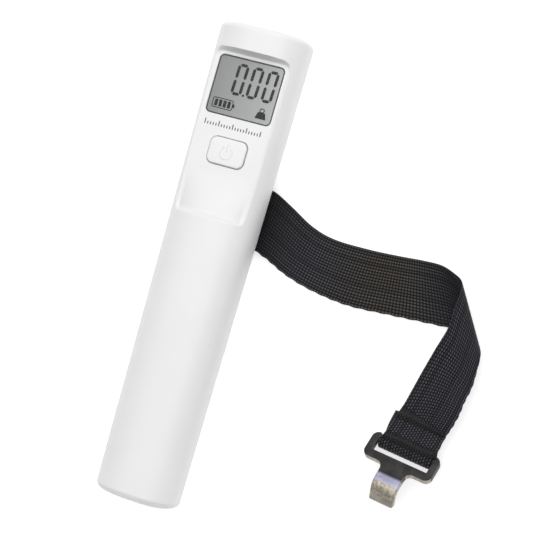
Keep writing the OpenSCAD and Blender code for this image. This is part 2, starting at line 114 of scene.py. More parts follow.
def loft(rings, closed_ends=True):
    """Points and faces of a skin over rings of equally many points."""
    count = len(rings[0])
    points = np.concatenate([np.asarray(r, float) for r in rings])
    faces = []
    for i in range(len(rings) - 1):
        for k in range(count):
            n = (k + 1) % count
            faces.append((i * count + k, i * count + n, (i + 1) * count + n, (i + 1) * count + k))
    if closed_ends:
        faces.append(tuple(range(count - 1, -1, -1)))
        last = (len(rings) - 1) * count
        faces.append(tuple(range(last, last + count)))
    return points, faces


def joined(parts):
    """Several (points, faces) as one."""
    points, faces, start = [], [], 0
    for part_points, part_faces in parts:
        points.extend(list(part_points))
        faces.extend([tuple(start + i for i in face) for face in part_faces])
        start += len(part_points)
    return points, faces


def apply_modifiers(piece):
    graph = bpy.context.evaluated_depsgraph_get()
    made = bpy.data.meshes.new_from_object(piece.evaluated_get(graph))
    piece.modifiers.clear()
    piece.data = made


def combine(piece, cutters, operation):
    """Applies a boolean of each cutter to the piece, and removes the cutters.

    Known fault: it leaves stray faces in the two shells and the cap, and the shells hold doubled
    points whose numbering varies from run to run.
    """
    for cutter in cutters:
        step = piece.modifiers.new("cut", "BOOLEAN")
        step.operation = operation
        step.solver = "MANIFOLD"
        step.object = cutter
    apply_modifiers(piece)
    for cutter in cutters:
        bpy.data.objects.remove(cutter)
    return piece


def rounded_outline(width, length, radius, corner_steps=10):
    """Points round a rectangle with round corners, anticlockwise."""
    outline = []
    for quarter in range(4):
        sign_x = (1, -1, -1, 1)[quarter]
        sign_y = (1, 1, -1, -1)[quarter]
        for step in range(corner_steps + 1):
            angle = radians(90.0 * (quarter + step / corner_steps))
            outline.append(
                (
                    sign_x * (width / 2 - radius) + radius * cos(angle),
                    sign_y * (length / 2 - radius) + radius * sin(angle),
                )
            )
    return outline


def plate_rings(width, length, radius, profile, centre=(0.0, 0.0)):
    """Rings of a rounded plate: profile holds (inset, height) pairs from its foot to its top."""
    rings = []
    for inset, height in profile:
        outline = rounded_outline(width - 2 * inset, length - 2 * inset, max(radius - inset, 0.05))
        rings.append([(centre[0] + x, centre[1] + y, height) for x, y in outline])
    return rings


def make_plate(name, size, radius, profile, centre):
    return make_object(name, *loft(plate_rings(*size, radius, profile, centre)))


def round_over(radius, top, inwards=1.0, steps=6):
    """(inset, height) pairs of a round edge that ends at the height top."""
    pairs = []
    for step in range(steps + 1):
        angle = radians(90.0 * step / steps)
        pairs.append((inwards * radius * (1 - cos(angle)), top - radius * (1 - sin(angle))))
    return pairs


def show(piece, body, slot, material, *replaced, sharp=35.0):
    """Cleans a piece, gives it a material and a body, and hides the nodes that it stands for."""
    if sharp:
        finish_mesh(piece, sharp)
    piece.data.materials.clear()
    piece.data.materials.append(material)
    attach(piece, body)
    if replaced:
        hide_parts(*replaced)


# ---------------------------------------------------------------- materials


class Nodes:
    """Short names for making a node material."""

    def __init__(self, name):
        self.material = bpy.data.materials.new(name)
        self.material.use_nodes = True
        self.tree = self.material.node_tree
        self.shader = self.tree.nodes["Principled BSDF"]

    def add(self, kind, **inputs):
        node = self.tree.nodes.new(kind)
        for key, value in inputs.items():
            self.put(node, key.replace("_", " "), value)
        return node

    def put(self, node, socket, value):
        if isinstance(value, bpy.types.NodeSocket):
            self.tree.links.new(value, node.inputs[socket])
        else:
            node.inputs[socket].default_value = value

    def surface(self, **inputs):
        for key, value in inputs.items():
            self.put(self.shader, key.replace("_", " "), value)

    def attribute(self, name):
        node = self.add("ShaderNodeAttribute")
        node.attribute_name = name
        return node.outputs["Fac"]

    def colour(self, value):
        self.surface(Base_Color=value)

    def rough(self, value, low, high):
        self.surface(Roughness=self.map(value, 0.3, 0.7, low, high))

    def cloud(self, value, first, second):
        return self.mix(self.map(value, 0.35, 0.65), first, second)

    def axis(self, letter):
        return self.add("ShaderNodeSeparateXYZ", Vector=self.place()).outputs[letter]

    def place(self):
        return self.add("ShaderNodeTexCoord").outputs["Object"]

    def map(self, value, low, high, to_low=0.0, to_high=1.0):
        node = self.add("ShaderNodeMapRange", Value=value)
        limits = {"From Min": low, "From Max": high, "To Min": to_low, "To Max": to_high}
        for socket, number in limits.items():
            node.inputs[socket].default_value = number
        return node.outputs["Result"]

    def noise(self, scale, detail=2.0, roughness=0.5, vector=None):
        node = self.add("ShaderNodeTexNoise", Scale=scale, Detail=detail, Roughness=roughness)
        self.put(node, "Vector", vector or self.place())
        return node.outputs["Fac"]

    def mix(self, share, first, second):
        node = self.tree.nodes.new("ShaderNodeMix")
        node.data_type = "RGBA"
        self.put(node, "Factor", share)
        for socket, colour in ((6, first), (7, second)):
            if isinstance(colour, bpy.types.NodeSocket):
                self.tree.links.new(colour, node.inputs[socket])
            else:
                node.inputs[socket].default_value = (*colour, 1.0)
        return node.outputs[2]

    def math(self, operation, first, second=0.0):
        node = self.tree.nodes.new("ShaderNodeMath")
        node.operation = operation
        self.put(node, 0, first)
        self.put(node, 1, second)
        return node.outputs[0]

    def times(self, first, second):
        return self.math("MULTIPLY", first, second)

    def size(self, value):
        return self.math("ABSOLUTE", value)

    def bump(self, height, distance, strength=1.0):
        node = self.add("ShaderNodeBump", Height=height, Distance=distance, Strength=strength)
        self.put(self.shader, "Normal", node.outputs["Normal"])


def grey(level):
    """Linear value of an sRGB grey from 0 to 255."""
    share = level / 255.0
    return share / 12.92 if share <= 0.04045 else ((share + 0.055) / 1.055) ** 2.4


def srgb(red, green, blue):
    return (grey(red), grey(green), grey(blue))


def plastic(name, colour, roughness=0.38, grain=9000.0, depth=0.000012, variation=0.015):
    """Moulded plastic: a fine spark-eroded grain, and a slightly uneven tone and gloss."""
    n = Nodes(name)
    cloud = n.noise(60.0, 3.0)
    shade = tuple(max(0.0, c - variation) for c in colour)
    n.colour(n.cloud(cloud, colour, shade))
    n.rough(n.noise(220.0, 4.0), roughness - 0.04, roughness + 0.06)
    n.surface(IOR=1.48)
    n.bump(n.noise(grain, 2.0), depth)
    return n.material


def metal(name, colour, roughness, streak, depth=0.000006):
    """Metal with fine streaks along its longest scale, and a duller film in places."""
    n = Nodes(name)
    stretch = n.add("ShaderNodeMapping", Vector=n.place())
    stretch.inputs["Scale"].default_value = streak
    lines = n.noise(3000.0, 3.0, vector=stretch.outputs["Vector"])
    film = n.noise(160.0, 4.0)
    dull = tuple(c * 0.78 for c in colour)
    n.colour(n.mix(n.map(film, 0.4, 0.62), colour, dull))
    n.surface(Metallic=1.0)
    n.rough(lines, roughness - 0.06, roughness + 0.1)
    n.bump(lines, depth)
    return n.material


white_plastic = plastic("white_plastic", (0.80, 0.80, 0.80))
back_plastic = plastic("back_plastic", (0.79, 0.79, 0.79))
cap_plastic = plastic("cap_plastic", (0.79, 0.79, 0.80))
button_plastic = plastic("button_plastic", (0.80, 0.80, 0.80), roughness=0.33)

# ---------------------------------------------------------------- case

front_low, front_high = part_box("front_shell")
cap_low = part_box("end_cap")[0]
case_tail = front_low.y / MM
case_head = front_high.y / MM
split_z = front_low.z / MM
HEAD_WIDTH = 33.4
TAIL_WIDTH = 29.9
HEAD_DEPTH = 25.2
TAIL_DEPTH = 22.6
WALL = 1.8
END_RADIUS = 2.3
BACK_FLAT = 0.8
OVAL_POWER = 2.5
SECTION_SIDES = 288
SEAM_DEPTH = 0.22
SEAM_HALF = 0.13


def section_angles(count):
    """Angles that space the points of a section evenly along its outline."""
    angle = np.linspace(0.0, 2 * pi, 7201)
    x = 16.0 * signed_power(np.cos(angle))
    z = 12.0 * signed_power(np.sin(angle))
    walked = np.concatenate([[0.0], np.cumsum(np.hypot(np.diff(x), np.diff(z)))])
    wanted = (np.arange(count) + 0.5) * walked[-1] / count
    return np.interp(wanted, walked, angle)


def signed_power(value):
    return np.sign(value) * np.abs(value) ** (2 / OVAL_POWER)


def case_section(y, inset, shift=0.0):
    """The rounded section of the case at y, shrunk by inset, its ring placed at y + shift."""
    share = (y - case_tail) / (case_head - case_tail)
    half_width = (TAIL_WIDTH + (HEAD_WIDTH - TAIL_WIDTH) * share) / 2
    half_depth = (TAIL_DEPTH + (HEAD_DEPTH - TAIL_DEPTH) * share) / 2
    rise = half_depth + np.where(np.sin(ANGLES) < 0, BACK_FLAT, 0.0) - inset
    x = (half_width - inset) * signed_power(np.cos(ANGLES))
    z = np.maximum(inset, half_depth + rise * signed_power(np.sin(ANGLES)))
    return np.stack([x, np.full_like(x, y + shift), z], axis=1)


ANGLES = section_angles(SECTION_SIDES)

# Sunk panel of the display and the button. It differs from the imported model: both end walls are
# steeper, the lower one stands 1.8 mm further down, and the floor rises towards it.
PANEL_Z = 20.4
PANEL_LEAST = 0.4
SCOOP_START = 32.0
SCOOP_DEPTH = 1.35
PANEL_HALF = 13.7
PANEL_Y = (16.6, 73.2)
PANEL_CORNER = 2.6
PANEL_SLOPE = (1.15, 1.1)
PANEL_FLARE = 0.8
PANEL_EDGE = 0.2
PANEL_FOOT = 0.8


def outline_distance(x, y, share):
    """Signed distance to the panel's outline at a share of its depth: 0 at the floor, 1 at the top."""
    radius = PANEL_CORNER + share
    half_x = PANEL_HALF + PANEL_FLARE * share
    low = PANEL_Y[0] - PANEL_SLOPE[0] * share
    high = PANEL_Y[1] + PANEL_SLOPE[1] * share
    out_x = np.abs(x) - half_x + radius
    out_y = np.abs(y - (low + high) / 2) - (high - low) / 2 + radius
    outside = np.hypot(np.maximum(out_x, 0.0), np.maximum(out_y, 0.0))
    return outside + np.minimum(np.maximum(out_x, out_y), 0.0) - radius


def panel_height(x, y, surface):
    """Height of the sunk panel's floor and walls under a place on the case's surface."""
    low = np.full_like(x, -1.0)
    high = np.full_like(x, 2.0)
    for _ in range(24):
        middle = (low + high) / 2
        outside = outline_distance(x, y, middle) > 0
        low = np.where(outside, middle, low)
        high = np.where(outside, high, middle)
    share = np.clip((SCOOP_START - y) / (SCOOP_START - PANEL_Y[0]), 0.0, 1.0)
    share = share**2 * (3 - 2 * share)
    floor = PANEL_Z + share * np.maximum(surface - SCOOP_DEPTH - PANEL_Z, 0.0)
    wall = floor + np.maximum(surface - floor, PANEL_LEAST) * high
    blend = np.maximum(PANEL_FOOT - np.abs(wall - floor), 0.0)
    return np.maximum(wall, floor) + blend**2 / (4 * PANEL_FOOT)


def sink_panel(ring):
    """Lowers the top of a ring of the case to the panel, with a soft edge."""
    x, y, z = ring.T
    panel = panel_height(x, y, z)
    blend = np.maximum(PANEL_EDGE - np.abs(z - panel), 0.0)
    sunk = np.minimum(z, panel) - blend**2 / (4 * PANEL_EDGE)
    return np.stack([x, y, np.where(z > split_z + 4, sunk, z)], axis=1)


def case_rows():
    """Places along the case where its rings stand: close together over the panel."""
    dense_low = PANEL_Y[0] - PANEL_SLOPE[0] - 1.5
    dense_high = PANEL_Y[1] + PANEL_SLOPE[1] + 1.0
    return np.concatenate(
        [
            np.linspace(case_tail, dense_low, 70, endpoint=False),
            np.linspace(dense_low, dense_high, 190, endpoint=False),
            np.linspace(dense_high, case_head - END_RADIUS, 12),
        ]
    )


def case_solid(name, inset, start, panel=False):
    """The case as one solid, shrunk by inset, from start to the rounded rim at the display end."""
    radius = max(END_RADIUS - inset, 0.6)
    rows = case_rows() if panel else np.linspace(start, case_head - inset - radius, 60)
    rings = [case_section(y, inset) for y in rows]
    for angle in np.radians(np.linspace(5.0, 90.0, 18)):
        y = case_head - inset - radius * (1 - sin(angle))
        rings.append(case_section(y, inset + radius * (1 - cos(angle))))
    if panel:
        rings = [sink_panel(r) for r in rings]
    return make_object(name, *loft(rings))


def block(low, high):
    """A plain box to cut with."""
    corners = [(x, y, z) for x in (low[0], high[0]) for y in (low[1], high[1]) for z in (low[2], high[2])]
    faces = [(0, 1, 3, 2), (4, 6, 7, 5), (0, 4, 5, 1), (2, 3, 7, 6), (0, 2, 6, 4), (1, 5, 7, 3)]
    return make_object("block", corners, faces)


def post(centre, radius, low, high, sides=48, turn=0.0):
    """A round post or bore along Z."""
    angles = np.radians(turn) + np.arange(sides) * 2 * pi / sides
    rings = [
        [(centre[0] + radius * cos(a), centre[1] + radius * sin(a), z) for a in angles]
        for z in (low, high)
    ]
    return make_object("post", *loft(rings))


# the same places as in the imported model
WINDOW_Y = 61.5
WINDOW_SIZE = (24.4, 21.0)
WINDOW_CORNER = 1.8
WINDOW_LEDGE = 1.0
WINDOW_SKIN = 1.0
BUTTON_Y = 38.9
BUTTON_SIZE = (13.6, 9.4)
BUTTON_GAP = 0.25
BUTTON_HOLE_CORNER = 2.6
PANEL_SKIN = 1.6
CASE_SCREWS = [(-8.0, 78.2), (8.0, 78.2), (-10.2, -26.0), (10.2, -26.0)]
SCREW_SEAT = 4.4
BEAM_SCREWS = [-28.4, -22.6]
BOARD_POSTS = [(x, y) for x in (-10.4, 10.4) for y in (28.4, 46.0)]
BOARD_TOP = 14.4
OPENING_X = (-11.6, 20.0)
OPENING_Y = (6.6, 35.4)
OPENING_Z = 6.3


def flared_cut(width, length, corner, centre_y, foot, radius):
    """A cutter for a hole in the panel whose upper edge is rounded off."""
    profile = [(0.0, foot)] + round_over(radius, PANEL_Z, inwards=-1.0)
    profile.append((-radius, PANEL_Z + 3.0))
    return make_plate("flared_cut", (width, length), corner, profile, (0.0, centre_y))


def seam_cut():
    """A slab round the case that cuts the fine groove between the two shells."""
    slab = block((-30, case_tail - 1, split_z - SEAM_HALF), (30, case_head + 1, split_z + SEAM_HALF))
    return combine(slab, [case_solid("seam_core", SEAM_DEPTH, case_tail - 2)], "DIFFERENCE")


def make_front_shell():
    shell = case_solid("shell_front", 0.0, case_tail, panel=True)
    room = case_solid("room", WALL, case_tail - 5)
    roof_low = PANEL_Y[0] - PANEL_SLOPE[0] - 1.6
    roof_high = PANEL_Y[1] + PANEL_SLOPE[1] + 1.6
    roof = block((-20, roof_low, PANEL_Z - PANEL_SKIN), (20, roof_high, PANEL_Z + 8))
    combine(room, [roof], "DIFFERENCE")
    combine(shell, [room, block((-40, -120, -40), (40, 120, split_z))], "DIFFERENCE")
    bosses = [post(p, 2.4, split_z, 22.3 if p[1] > 0 else 20.3) for p in CASE_SCREWS]
    bosses += [post(p, 1.8, BOARD_TOP, PANEL_Z - PANEL_SKIN / 2) for p in BOARD_POSTS]
    combine(shell, bosses, "UNION")
    cuts = [post(p, 0.9, split_z - 1, split_z + 7, 24) for p in CASE_SCREWS]
    cuts += [post(p, 0.8, BOARD_TOP - 1, BOARD_TOP + 3.2, 24) for p in BOARD_POSTS]
    cuts.append(flared_cut(*WINDOW_SIZE, WINDOW_CORNER, WINDOW_Y, PANEL_Z - WINDOW_SKIN, 0.22))
    inner = [side - 2 * WINDOW_LEDGE for side in WINDOW_SIZE]
    profile = [(0.0, PANEL_Z - 3.0), (0.0, PANEL_Z)]
    cuts.append(make_plate("light", inner, 1.0, profile, (0, WINDOW_Y)))
    hole = [side + 2 * BUTTON_GAP for side in BUTTON_SIZE]
    cuts.append(flared_cut(*hole, BUTTON_HOLE_CORNER, BUTTON_Y, PANEL_Z - 3.0, 0.25))
    cuts.append(seam_cut())
    combine(shell, cuts, "DIFFERENCE")
    show(shell, "case", "white_case", white_plastic, "front_shell")


def make_back_shell():
    shell = case_solid("shell_back", 0.0, case_tail)
    room = case_solid("room", WALL, case_tail - 5)
    combine(shell, [room, block((-40, -120, split_z), (40, 120, 60))], "DIFFERENCE")
    core = case_solid("core", WALL / 2, case_tail)
    posts = [post(p, 3.2, -1.0, split_z, 8, 22.5) for p in CASE_SCREWS]
    for p in posts:
        keep = core.copy()
        keep.data = core.data.copy()
        scene.collection.objects.link(keep)
        combine(p, [keep], "INTERSECT")
    bpy.data.objects.remove(core)
    combine(shell, posts, "UNION")
    cuts = []
    for p in CASE_SCREWS:
        cuts.append(post(p, 2.2, -1.0, SCREW_SEAT))
        cuts.append(post(p, 1.2, -1.0, split_z + 1, 32))
    for y in BEAM_SCREWS:
        cuts.append(post((0, y), 1.6, -1.0, 4.0, 32))
        cuts.append(post((0, y), 2.8, -1.0, 1.0))
    middle = (sum(OPENING_X) / 2, sum(OPENING_Y) / 2)
    size = (OPENING_X[1] - OPENING_X[0], OPENING_Y[1] - OPENING_Y[0])
    mouth = [(-0.6, -1.0), (-0.6, 0.0)] + [
        (-0.6 * (1 - sin(a)), 0.6 * (1 - cos(a))) for a in np.radians([15, 30, 45, 60, 75, 90])
    ]
    mouth += [(0.0, OPENING_Z)]
    cuts.append(make_plate("mouth", size, 2.0, mouth, middle))
    cuts.append(seam_cut())
    combine(shell, cuts, "DIFFERENCE")
    show(shell, "case", "back_case", back_plastic, "back_shell")


make_front_shell()
make_back_shell()


def make_end_cap():
    """The crowned cap over the battery end, with its skirt and the pad behind the contact."""
    rim = 0.3
    dome = 9.5
    height = case_tail - cap_low.y / MM - 0.2
    rings = [case_section(case_tail, rim + 0.12, -0.01)]
    rings.append(case_section(case_tail, rim, -0.13))
    for angle in np.radians(np.linspace(0.0, 90.0, 28)):
        inset = rim + dome * (1 - cos(angle))
        rings.append(case_section(case_tail, inset, -0.2 - height * sin(angle)))
    cap = make_object("cap_dome", *loft(rings[::-1]))
    outer = [case_section(case_tail, WALL + 0.3, s) for s in (-0.6, 5.7)]
    outer.append(case_section(case_tail, WALL + 0.6, 6.0))
    inner = [case_section(case_tail, WALL + 1.5, s) for s in (0.2, 7.0)]
    skirt = make_object("skirt", *loft(outer))
    combine(skirt, [make_object("hollow", *loft(inner))], "DIFFERENCE")
    pad_z = (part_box("bridge_contact")[0].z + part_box("bridge_contact")[1].z) / 2 / MM
    pad = block((-10, case_tail - 0.3, pad_z - 3.5), (10, case_tail + 2.7, pad_z + 3.5))
    combine(cap, [skirt, pad], "UNION")
    show(cap, "cap", "cap", cap_plastic, "end_cap")


make_end_cap()

# ---------------------------------------------------------------- display and button


def make_button():
    low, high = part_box("mode_button")
    top = high.z / MM
    flange_z = PANEL_Z - PANEL_SKIN - 0.05
    flange = [(0.15, flange_z - 0.85), (0.0, flange_z - 0.7), (0.0, flange_z - 0.15), (0.15, flange_z)]
    size = (BUTTON_SIZE[0] + 2.6, BUTTON_SIZE[1] + 2.0)
    body = make_plate("mode_key", size, 2.6, flange, (0, BUTTON_Y))
    edge = 0.5
    crown = [(0.0, flange_z - 0.2), (0.0, top - 0.12 - edge)] + round_over(edge, top - 0.12)
    crown += [(1.2, top - 0.08), (2.4, top - 0.05), (3.6, top - 0.04)]
    key = make_plate("key", BUTTON_SIZE, 2.4, crown, (0, BUTTON_Y))
    stem = post((0, BUTTON_Y), 1.6, low.z / MM, flange_z - 0.3)
    combine(body, [key, stem], "UNION")
    show(body, "button", "button", button_plastic, "mode_button", sharp=40.0)


make_button()

# ---------------------------------------------------------------- display

window_low, window_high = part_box("display_window")
window_foot = window_low.z / MM
window_top = window_high.z / MM
PANE_SIZE = (WINDOW_SIZE[0] - 0.2, WINDOW_SIZE[1] - 0.2)
PANE_CORNER = WINDOW_CORNER - 0.1
FILM_TOP = window_top - 0.2
INK_LOW = FILM_TOP - 0.01
INK_HIGH = FILM_TOP + 0.02
DIGIT_HEIGHT = 10.25
DIGIT_WIDTH = 3.05
DIGIT_PITCH = 5.65
DIGIT_STROKE = 1.06
DIGIT_GAP = 0.14
DIGIT_SLANT = tan(radians(2.0))
FIRST_DIGIT_X = -4.57
DIGIT_FOOT = WINDOW_Y - 2.2


def lcd_material():
    """Grey film of a reflective display, with a very fine grain: a painted reflection makes it a little
    darker to the left.
    """
    n = Nodes("lcd_film")
    half = PANE_SIZE[0] / 2 * MM
    across = n.map(n.axis("X"), -half, half)
    # painted reflection: the film's grey goes from darker at the left to lighter at the right
    tone = n.mix(across, srgb(146, 147, 147), srgb(186, 187, 187))
    grain = n.noise(5000.0, 1.0)
    n.colour(n.mix(n.map(grain, 0.2, 0.8, 0.0, 0.12), tone, srgb(112, 113, 113)))
    n.rough(grain, 0.35, 0.45)
    return n.material


def ink_material(name, colour, gloss=0.4):
    n = Nodes(name)
    patch = n.noise(900.0, 3.0)
    lighter = tuple(c * 1.35 for c in colour)
    n.colour(n.mix(n.map(patch, 0.35, 0.7), colour, lighter))
    n.rough(patch, gloss - 0.05, gloss + 0.1)
    n.bump(patch, 0.000004)
    return n.material


def pane_material():
    """Clear cover: mostly see-through, with a faint gloss and fine wiping marks."""
    n = Nodes("clear_cover")
    n.colour(n.mix(n.noise(60.0), (0.02, 0.02, 0.02), (0.04, 0.04, 0.04)))
    n.rough(n.noise(400.0, 4.0), 0.05, 0.14)
    n.surface(IOR=1.49, Alpha=0.05)
    return n.material


def prism(outline, low, high):
    """An upright solid on a closed outline."""
    rings = [[(x, y, z) for x, y in outline] for z in (low, high)]
    return loft(rings)


def shifted(outline, x, y):
    return [(x + a, y + b) for a, b in outline]


def bar_outline(start, end, half):
    """A six-cornered display segment from start to end."""
    (x0, y0), (x1, y1) = start, end
    length = hypot(x1 - x0, y1 - y0)
    ux, uy = (x1 - x0) / length, (y1 - y0) / length
    far = length - half
    places = [(0, 0), (half, half), (far, half), (length, 0), (far, -half), (half, -half)]
    return [(x0 + a * ux - b * uy, y0 + a * uy + b * ux) for a, b in places]


def make_digits():
    """Three sloping noughts with a point after the first: each nought is six lit segments."""
    parts = []
    middle = DIGIT_HEIGHT / 2
    half = DIGIT_STROKE / 2
    gap = DIGIT_GAP
    lines = [
        ((gap, DIGIT_HEIGHT), (DIGIT_WIDTH - gap, DIGIT_HEIGHT)),
        ((gap, 0.0), (DIGIT_WIDTH - gap, 0.0)),
    ]
    for x in (0.0, DIGIT_WIDTH):
        lines.append(((x, gap), (x, middle - gap - 0.12)))
        lines.append(((x, middle + gap + 0.12), (x, DIGIT_HEIGHT - gap)))
    for digit in range(3):
        for start, end in lines:
            outline = bar_outline(start, end, half)
            left = FIRST_DIGIT_X + digit * DIGIT_PITCH
            placed = [(left + x + y * DIGIT_SLANT, DIGIT_FOOT + y) for x, y in outline]
            parts.append(prism(placed, INK_LOW, INK_HIGH))
    point_x = FIRST_DIGIT_X + (DIGIT_WIDTH + DIGIT_PITCH) / 2
    dot = shifted(rounded_outline(0.8, 0.8, 0.25, 4), point_x, DIGIT_FOOT)
    parts.append(prism(dot, INK_LOW, INK_HIGH))
    return parts


def frame_of(width, length, corner, thickness, centre, low, high):
    """A closed rounded frame with a wall of the given thickness."""
    outer = plate_rings(width, length, corner, [(0.0, low), (0.0, high)], centre)
    inner = plate_rings(width, length, corner, [(thickness, high), (thickness, low)], centre)
    points, faces = loft(outer + inner, closed_ends=False)
    count = len(outer[0])
    for k in range(count):
        n = (k + 1) % count
        faces.append((3 * count + k, 3 * count + n, n, k))
    return points, faces


def make_battery_mark():
    """Battery mark: a frame with its nub and four bars."""
    centre = (-6.62, WINDOW_Y - 6.55)
    parts = [frame_of(7.7, 3.7, 0.7, 0.3, centre, INK_LOW, INK_HIGH)]
    for step in range(4):
        x = centre[0] - 2.4 + 1.6 * step
        parts.append(prism(shifted(rounded_outline(1.15, 2.4, 0.12, 2), x, centre[1]), INK_LOW, INK_HIGH))
    nub_x = centre[0] + 3.85 + 0.3
    nub = shifted(rounded_outline(0.62, 1.3, 0.2, 3), nub_x, centre[1])
    parts.append(prism(nub, INK_LOW, INK_HIGH))
    return parts


def make_weight_mark():
    """Generic weight mark in the lower right corner: a tapered weight with a ring on top."""
    x, y = 8.0, WINDOW_Y - 8.6
    weight = [(x - 2.0, y), (x + 2.0, y), (x + 1.35, y + 2.3), (x - 1.35, y + 2.3)]
    ring = frame_of(1.9, 1.7, 0.8, 0.36, (x, y + 2.95), INK_LOW, INK_HIGH)
    return [prism(weight, INK_LOW, INK_HIGH), ring]


def make_display():
    film = [(0.0, window_foot), (0.0, FILM_TOP)]
    plate = make_plate("display_film", PANE_SIZE, PANE_CORNER, film, (0, WINDOW_Y))
    show(plate, "case", "lcd", lcd_material(), "display_window")
    ink = ink_material("display_ink", srgb(6, 6, 8), 0.5)
    marks = {
        "display_digits": make_digits(),
        "display_battery_mark": make_battery_mark(),
        "display_weight_mark": make_weight_mark(),
    }
    for name, parts in marks.items():
        piece = make_object(name, *joined(parts))
        show(piece, "case", "lcd", ink)
    # dark ring round the film's edge: partly a printed border, partly painted shade of the gap round the
    # pane
    border = frame_of(*PANE_SIZE, PANE_CORNER, 0.36, (0, WINDOW_Y), FILM_TOP - 0.02, FILM_TOP + 0.03)
    rim = make_object("display_border", *border)
    show(rim, "case", "window", ink_material("border_print_and_gap_shade", srgb(40, 41, 44)))
    cover = [(0.0, FILM_TOP + 0.04)] + round_over(0.08, window_top, steps=3)
    pane = make_plate("display_cover", PANE_SIZE, PANE_CORNER, cover, (0, WINDOW_Y))
    show(pane, "case", "window", pane_material())


make_display()


TICKS = 21
TICK_FIRST_X = -10.9
TICK_ROW_LENGTH = 20.7
TICK_FOOT_Y = 46.9
TICK_WIDTH = 0.36
TICK_LONG = 1.9
TICK_SHORT = 1.05


def make_graduation():
    """A printed row of fine graduation marks under the display, every fifth one longer."""
    parts = []
    for step in range(TICKS):
        x = TICK_FIRST_X + TICK_ROW_LENGTH * step / (TICKS - 1)
        tall = TICK_LONG if step % 5 == 0 else TICK_SHORT
        line = shifted(rounded_outline(TICK_WIDTH, tall, 0.14, 3), x, TICK_FOOT_Y + tall / 2)
        parts.append(prism(line, PANEL_Z - 0.02, PANEL_Z + 0.012))
    piece = make_object("printed_scale", *joined(parts))
    show(piece, "case", "white_case", ink_material("print_ink", srgb(52, 53, 57), 0.5))


make_graduation()


def make_key_mark():
    """Raised power mark on the button: a broken ring with a bar in its gap."""
    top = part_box("mode_button")[1].z / MM
    low, high = top - 0.25, top + 0.1
    shoulder = high - 0.06
    profile = [(1.95, low), (1.95, shoulder), (2.03, high), (2.37, high), (2.45, shoulder), (2.45, low)]
    rings = []
    for angle in np.radians(np.linspace(125.0, 415.0, 49)):
        c, s = cos(angle), sin(angle)
        rings.append([(r * c, BUTTON_Y - 0.25 + r * s, z) for r, z in profile])
    bar = [(0.0, low), (0.0, shoulder), (0.07, high)]
    stroke = plate_rings(0.52, 2.6, 0.24, bar, (0, BUTTON_Y + 1.55))
    piece = make_object("key_mark", *joined([loft(rings), loft(stroke)]))
    show(piece, "button", "button", button_plastic, sharp=50.0)


make_key_mark()

# ---------------------------------------------------------------- strap

# The strap's route: rulings across it, each from its far edge to its near edge.
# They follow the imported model's within 2 mm: here the left edge runs straight to the hook, the loop
# hangs looser round the bar, and the folded end stands out to the left.
HOOK_AT = np.array([86.0, -41.4, 4.3])
HOOK_HEADING = -96.0
HOOK_ROLL = 8.0
HOOK_PITCH = 30.0
STRAP_WIDTH = 20.0
STRAP_THICKNESS = 1.4
STRAP_PIN = (2.5, 6.2)
STRAP_MIDDLE_Y = 21.0
HOOK_BEND = 1.95
LOOP_REACH = 2.9

turn = radians(HOOK_HEADING - 90.0)
roll = radians(HOOK_ROLL)
hook_left = np.array([cos(turn) * cos(roll), sin(turn) * cos(roll), -sin(roll)])
hook_out = np.array([-sin(turn), cos(turn), 0.0])
hook_up = np.cross(hook_left, hook_out)


def on_pin(degrees):
    angle = radians(degrees)
    x = STRAP_PIN[0] + 2.4 * cos(angle)
    z = STRAP_PIN[1] + 2.4 * sin(angle)
    return [[x, STRAP_MIDDLE_Y + side * STRAP_WIDTH / 2, z] for side in (1, -1)]


def on_hook(out, up, far_shift=0.0, near_shift=0.0):
    middle = HOOK_AT + out * hook_out + up * hook_up
    half = STRAP_WIDTH / 2
    return [middle + (half + far_shift) * hook_left, middle - (half - near_shift) * hook_left]


LYING = [
    [[9.5, 31.4, 3.7], [7.8, 10.9, 3.7]],
    [[15.0, 31.2, 2.8], [12.4, 9.8, 2.9]],
    [[22.5, 27.6, 1.6], [19.0, 7.4, 1.8]],
    [[31.5, 22.9, 1.1], [27.0, 3.9, 1.1]],
    [[40.5, 20.6, 1.0], [37.5, 1.2, 1.0]],
    [[53.0, 20.4, 1.0], [51.0, -0.3, 1.0]],
    [[64.0, 21.0, 1.0], [66.0, 0.5, 1.0]],
    [[72.5, 21.7, 1.1], [79.0, 1.4, 1.0]],
    [[79.5, 21.8, 1.9], [90.0, 1.9, 1.2]],
    [[84.5, 20.2, 3.3], [96.6, 0.6, 2.5]],
    [[87.6, 18.2, 5.4], [100.2, -2.8, 4.8]],
    [[88.7, 14.8, 7.5], [101.6, -6.2, 7.2]],
    [[88.9, 9.5, 8.4], [102.0, -10.6, 8.5]],
    [[88.6, 2.1, 7.8], [101.8, -15.6, 8.3]],
    [[86.2, -6.0, 6.4], [100.8, -20.6, 8.4]],
    [[84.0, -13.8, 5.0], [100.3, -25.0, 8.6]],
    [[82.0, -21.6, 4.0], [99.2, -29.6, 8.2]],
    [[80.5, -27.4, 3.5], [98.1, -32.6, 7.4]],
]


def strap_rulings():
    rulings = [
        [[14.0, 31.3, 4.9], [12.0, 10.0, 4.9]],
        [[9.6, 31.1, 5.5], [8.4, 10.9, 5.5]],
        [[6.2, 31.0, 6.8], [5.6, 11.0, 6.8]],
    ]
    rulings += [on_pin(degrees) for degrees in range(75, 256, 30)]
    rulings += LYING
    coming = [(-8.4, 0.9, -2.0, -1.0), (-6.0, 0.95, -1.7, -0.8)]
    coming += [(-3.6, 1.3, -1.2, -0.5), (-1.4, 1.82, -0.7, -0.2)]
    rulings += [on_hook(*place) for place in coming]
    for degrees in range(90, -91, -30):
        angle = radians(degrees)
        rulings.append(on_hook(LOOP_REACH * cos(angle), HOOK_BEND * sin(angle)))
    going = [(-1.6, -1.8, 0.0, 0.0), (-4.2, -1.1, -0.1, 0.2)]
    going += [(-6.2, -0.8, -0.3, 0.3), (-10.4, -0.74, -0.8, 0.4)]
    rulings += [on_hook(*place) for place in going]
    return np.array(rulings, float)


